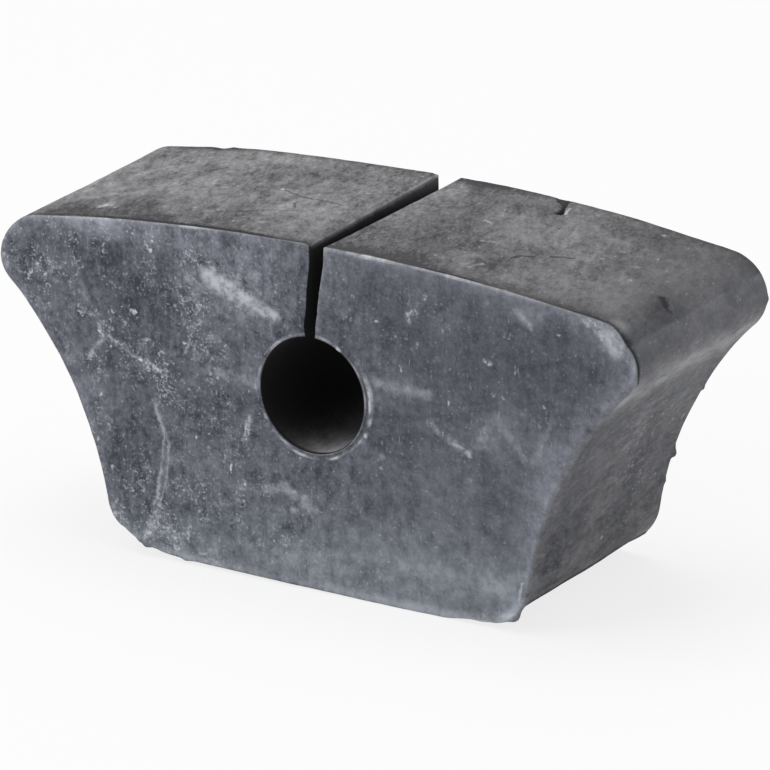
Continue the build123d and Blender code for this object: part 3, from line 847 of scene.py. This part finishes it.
for cell, biggest_radius, share_held, brightest in (
        (1.1, 0.34, 0.09, 0.8), (2.2, 0.6, 0.24, 1.0), (3.4, 1.3, 0.5, 0.45),
        (4.5, 0.9, 0.38, 1.0), (8.0, 1.2, 0.34, 1.0)):
    cells = add(tree, "ShaderNodeTexVoronoi", {"Vector": spot_place, "Scale": 1 / cell})
    chance = add(tree, "ShaderNodeSeparateXYZ", {0: cells.outputs["Color"]})
    room = add(tree, MATH, {0: dust_field, 1: -share_held, 2: 1.0}, operation="MULTIPLY_ADD")
    held = add(tree, MATH, {0: chance.outputs[0], 1: room}, operation="GREATER_THAN")
    size = add(tree, RANGE, {"Value": chance.outputs[1],
                             "To Min": 0.45 * biggest_radius / cell,
                             "To Max": biggest_radius / cell})
    spot = add(tree, RANGE, {"Value": cells.outputs["Distance"], "From Min": size,
                             "From Max": 0.0}, interpolation_type="SMOOTHSTEP")
    bright = add(tree, MATH, {0: chance.outputs[2], 1: 2.0}, operation="POWER")
    bright = add(tree, RANGE, {"Value": bright, "To Min": 0.2 * brightest, "To Max": brightest})
    spot = add(tree, MATH, {0: spot, 1: bright}, operation="MULTIPLY")
    spot = add(tree, MATH, {0: spot, 1: held}, operation="MULTIPLY")
    talc = spot if talc is None else add(tree, MATH, {0: talc, 1: spot}, operation="MAXIMUM")
for source, spread, bare_below, full_at, strongest in ((grain, 0.17, 0.66, 0.9, 0.6),
                                                       (lump, 0.14, 0.68, 0.95, 0.4)):
    fleck = add(tree, MATH, {0: dust_field, 1: spread, 2: source}, operation="MULTIPLY_ADD")
    fleck = add(tree, RANGE, {"Value": fleck, "From Min": bare_below, "From Max": full_at,
                              "To Max": strongest}, interpolation_type="SMOOTHSTEP")
    talc = add(tree, MATH, {0: talc, 1: fleck}, operation="MAXIMUM")

# Crumbs of talc, broken up by the grain
crumbs = add(tree, RANGE, {"Value": grain, "From Min": 0.4, "From Max": 0.6, "To Min": 0.1})
crumbs = add(tree, MATH, {0: strokes["crumbs"], 1: crumbs}, operation="MULTIPLY")
talc = add(tree, MATH, {0: talc, 1: crumbs}, operation="MAXIMUM")

# Short dashes of talc down the front face, 0.5 mm wide and 2 mm long
dash_place = add(tree, VECTOR, {0: place, 1: (1 / 0.5, 1 / 0.5, 1 / 2.0)}, operation="MULTIPLY")
dash = add(tree, "ShaderNodeTexNoise", {"Vector": dash_place, "Scale": 1.0, "Detail": 1.0})
dash = add(tree, MATH, {0: dust_field, 1: 0.06, 2: dash}, operation="MULTIPLY_ADD")
dash = add(tree, RANGE, {"Value": dash, "From Min": 0.68, "From Max": 0.86, "To Max": 0.3})
dash = add(tree, MATH, {0: dash, 1: on_front}, operation="MULTIPLY")
talc = add(tree, MATH, {0: talc, 1: dash}, operation="MAXIMUM")
tone = add(tree, MIX, {0: talc, 6: tone, 7: talc_colour}, data_type="RGBA")

# Cuts, spots of torn flash and the nick are fresh, unbloomed rubber; the nick's dark is also
# painted shade in its wedge. The groove behind the lip and the furrow in the flash get the same
# dark as painted shade.
cut = add(tree, MATH, {0: strokes["cuts"], 1: rub_soft}, operation="MULTIPLY")
groove_shade_and_bare = add(tree, MATH, {0: spots["groove_shade_and_bare_spots"], 1: 2.0}, operation="MULTIPLY", use_clamp=True)
nick = add(tree, RANGE, {"Value": spots["crack"], "From Min": 0.12, "From Max": 0.45})
fresh_and_shaded = add(tree, MATH, {0: groove_shade_and_bare, 1: nick}, operation="MAXIMUM")
fresh_and_shaded = add(tree, MATH, {0: fresh_and_shaded, 1: cut}, operation="MAXIMUM")
tone = add(tree, MIX, {0: fresh_and_shaded, 6: tone, 7: crack_and_shade_colour}, data_type="RGBA")

# The bore and the slit were never dusted, so their walls are bare rubber; their near-black colour
# is also painted shade, as deep in a hole. The slit's walls are the sideways faces close to its
# middle, above the bore.
slit_middle, slit_reach = 0.8, 3.4
radial = add(tree, VECTOR, {0: place, 1: (1.0, 0.0, 1.0)}, operation="MULTIPLY")
from_bore_axis = add(tree, VECTOR, {0: radial}, operation="LENGTH")
in_bore = add(tree, RANGE, {"Value": from_bore_axis, "From Min": bore_radius + 0.25,
                            "From Max": bore_radius + 0.08})
from_middle = add(tree, MATH, {0: place_x, 1: slit_middle}, operation="SUBTRACT")
from_middle = add(tree, MATH, {0: from_middle}, operation="ABSOLUTE")
in_slit = add(tree, RANGE, {"Value": from_middle, "From Min": slit_reach,
                            "From Max": slit_reach - 0.2})
above_bore = add(tree, RANGE, {"Value": place_z, "From Min": 8.0, "From Max": 9.0})
for share in (above_bore, on_side):
    in_slit = add(tree, MATH, {0: in_slit, 1: share}, operation="MULTIPLY")
bare = add(tree, MATH, {0: in_bore, 1: in_slit}, operation="MAXIMUM")
bare = add(tree, MATH, {0: bare, 1: spots["bloom_and_painted_light"]}, operation="SUBTRACT", use_clamp=True)
tone = add(tree, MIX, {0: bare, 6: tone, 7: shaded_bare_rubber_colour}, data_type="RGBA")

# Bloomed rubber is duller than bare rubber, and the walls of the bore and the slit are dullest
dull = add(tree, RANGE, {"Value": bloom_light_and_shade, "To Min": 0.55, "To Max": 0.85})
dull = add(tree, MATH, {0: mottle, 1: 0.12, 2: dull}, operation="MULTIPLY_ADD")
dull = add(tree, MATH, {0: dull, 1: bare}, operation="MAXIMUM")

# Height in millimetres: lumps and grain, and cuts that go in
lump_height, grain_height, cut_depth = 0.16, 0.035, 0.25
relief = add(tree, MATH, {0: mottle, 1: lump_height}, operation="MULTIPLY")
for source, rise in ((grain, grain_height), (strokes["cuts"], -cut_depth)):
    relief = add(tree, MATH, {0: source, 1: rise, 2: relief}, operation="MULTIPLY_ADD")
bump = add(tree, "ShaderNodeBump", {"Height": relief, "Distance": MM, "Strength": 0.8})

surface = add(tree, "ShaderNodeBsdfPrincipled", {
    "Base Color": tone, "Roughness": dull, "Normal": bump, "IOR": 1.5})
add(tree, "ShaderNodeOutputMaterial", {"Surface": surface})

bushing_mesh.materials.append(rubber)
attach(bushing, "root")
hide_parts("bushing")

# Floor: a large sheet of uncoated white card under the bushing. The camera sees it almost pure
# white, and the bushing's soft shadow stays on it.

floor_half_side, floor_z = 4.0, -base_drop * MM
floor_mesh = bpy.data.meshes.new("white_card_floor")
floor_corners = [(across * floor_half_side, along * floor_half_side, floor_z)
                 for across, along in ((-1, -1), (1, -1), (1, 1), (-1, 1))]
floor_mesh.from_pydata(floor_corners, [], [(0, 1, 2, 3)])
floor = bpy.data.objects.new("white_card_floor", floor_mesh)
bpy.context.scene.collection.objects.link(floor)

# Uncoated card, dull white with a faint tooth. The tooth is drawn 0.4 mm across, coarser than the
# real one, so that it shows.
tooth_size = 0.4 * MM
card = bpy.data.materials.new("white_card_uncoated")
card.use_nodes = True
tree = card.node_tree
tree.nodes.clear()
card_place = add(tree, "ShaderNodeTexCoord").outputs["Object"]
tooth = add(tree, "ShaderNodeTexNoise", {"Vector": card_place, "Scale": 1 / tooth_size})
card_tone = add(tree, MIX, {0: tooth, 6: linear("#DEDEDF"), 7: linear("#E6E6E6")},
                data_type="RGBA")
card_surface = add(tree, "ShaderNodeBsdfDiffuse", {"Color": card_tone})
white = add(tree, "ShaderNodeEmission", {"Color": (1.0, 1.0, 1.0, 1.0), "Strength": 1.0})
seen = add(tree, "ShaderNodeLightPath").outputs["Is Camera Ray"]
pure_white_share = 0.8
shown = add(tree, MATH, {0: seen, 1: pure_white_share}, operation="MULTIPLY")
floor_surface = add(tree, "ShaderNodeMixShader", {0: shown, 1: card_surface, 2: white})
add(tree, "ShaderNodeOutputMaterial", {"Surface": floor_surface})
floor_mesh.materials.append(card)

# Light: a plain studio, an even white room with one large soft lamp above and a weaker one at
# the front left, so that the crown is brightest and the right flank darkest.

world = bpy.data.worlds.new("white_room")
bpy.context.scene.world = world
world.use_nodes = True
tree = world.node_tree
tree.nodes.clear()
seen = add(tree, "ShaderNodeLightPath").outputs["Is Camera Ray"]
room = add(tree, "ShaderNodeBackground", {"Color": (1.0, 1.0, 1.0, 1.0), "Strength": 0.45})
white = add(tree, "ShaderNodeBackground", {"Color": (1.0, 1.0, 1.0, 1.0), "Strength": 1.0})
sky = add(tree, "ShaderNodeMixShader", {0: seen, 1: room, 2: white})
add(tree, "ShaderNodeOutputWorld", {"Surface": sky})

for name, at, size, watts in (("lamp_above", (-0.15, 0.1, 1.3), 1.2, 13.5),
                              ("lamp_front_left", (-0.9, -1.1, 0.7), 0.9, 9.0)):
    lamp = bpy.data.lights.new(name, "AREA")
    lamp.shape, lamp.size, lamp.energy = "SQUARE", size, watts
    holder = bpy.data.objects.new(name, lamp)
    holder.location = at
    holder.rotation_mode = "QUATERNION"
    holder.rotation_quaternion = Vector(at).to_track_quat("Z", "Y")
    bpy.context.scene.collection.objects.link(holder)

# Camera: a long lens, a little above the bushing and to its right, 1.3 m from the bar's axis. The
# picture is square, and the lens is worked out from its pixels to a millimetre.

azimuth, elevation, roll = np.radians([31.9603, 19.2292, -0.5536])
distance, shift_right, shift_up = 1300.0, -0.628, 4.397
pixels_per_mm, picture_side, sensor = 5.99106, 770, 36.0
level = np.array([np.cos(azimuth), np.sin(azimuth), 0.0])
upright = np.array([-np.sin(azimuth) * np.sin(elevation), np.cos(azimuth) * np.sin(elevation),
                    np.cos(elevation)])
towards = np.array([np.sin(azimuth) * np.cos(elevation), -np.cos(azimuth) * np.cos(elevation),
                    np.sin(elevation)])
right_hand = np.cos(roll) * level + np.sin(roll) * upright
overhead = -np.sin(roll) * level + np.cos(roll) * upright
stand = (distance * towards - shift_right * right_hand - shift_up * overhead) * MM
camera_data = bpy.data.cameras.new("camera")
camera_data.sensor_width = sensor
camera_data.lens = sensor * pixels_per_mm * distance / picture_side
camera = bpy.data.objects.new("camera", camera_data)
pose = Matrix(np.column_stack([right_hand, overhead, towards]).tolist()).to_4x4()
pose.translation = Vector(stand)
camera.matrix_world = pose
bpy.context.scene.collection.objects.link(camera)
bpy.context.scene.camera = camera
bpy.context.scene.view_settings.view_transform = "Standard"
